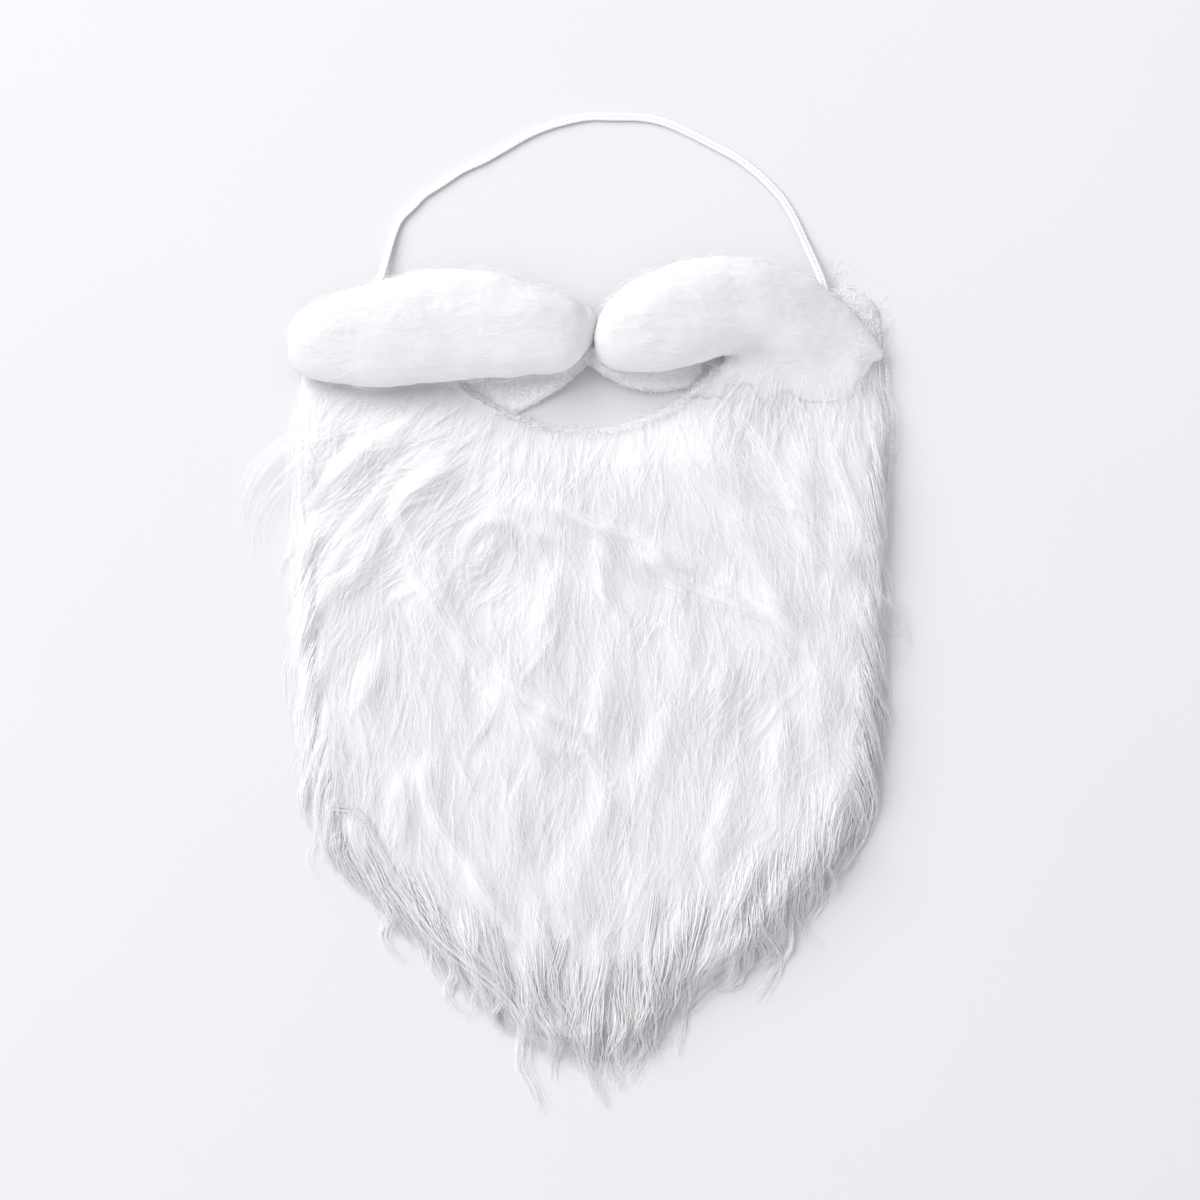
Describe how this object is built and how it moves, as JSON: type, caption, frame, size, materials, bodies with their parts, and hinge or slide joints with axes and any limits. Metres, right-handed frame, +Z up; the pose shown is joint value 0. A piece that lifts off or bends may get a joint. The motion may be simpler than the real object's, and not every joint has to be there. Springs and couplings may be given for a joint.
{
  "type": "fake beard",
  "caption": "Long white fake beard that lies flat: fur cloth with a mouth opening, puffy moustache rolls on a lip band, and a thin elastic loop.",
  "frame": {"origin": "bottom centre of the beard without its elastic cord, on the surface that it lies on", "axes": "+Y from the beard's tip towards the moustache, +Z up out of the pile, +X to the right as seen from above"},
  "size_m": [0.2777, 0.4172, 0.0296],
  "materials": {
    "fur": "white long-pile fur",
    "lip_cloth": "thin white non-woven cloth",
    "batting": "soft white brushed batting",
    "elastic": "white braided elastic"
  },
  "bodies": {
    "root": {"beard_fur": "fur", "lip_band": "lip_cloth", "moustache_roll_left": "batting", "moustache_roll_right": "batting", "elastic_cord": "elastic"}
  },
  "joints": []
}
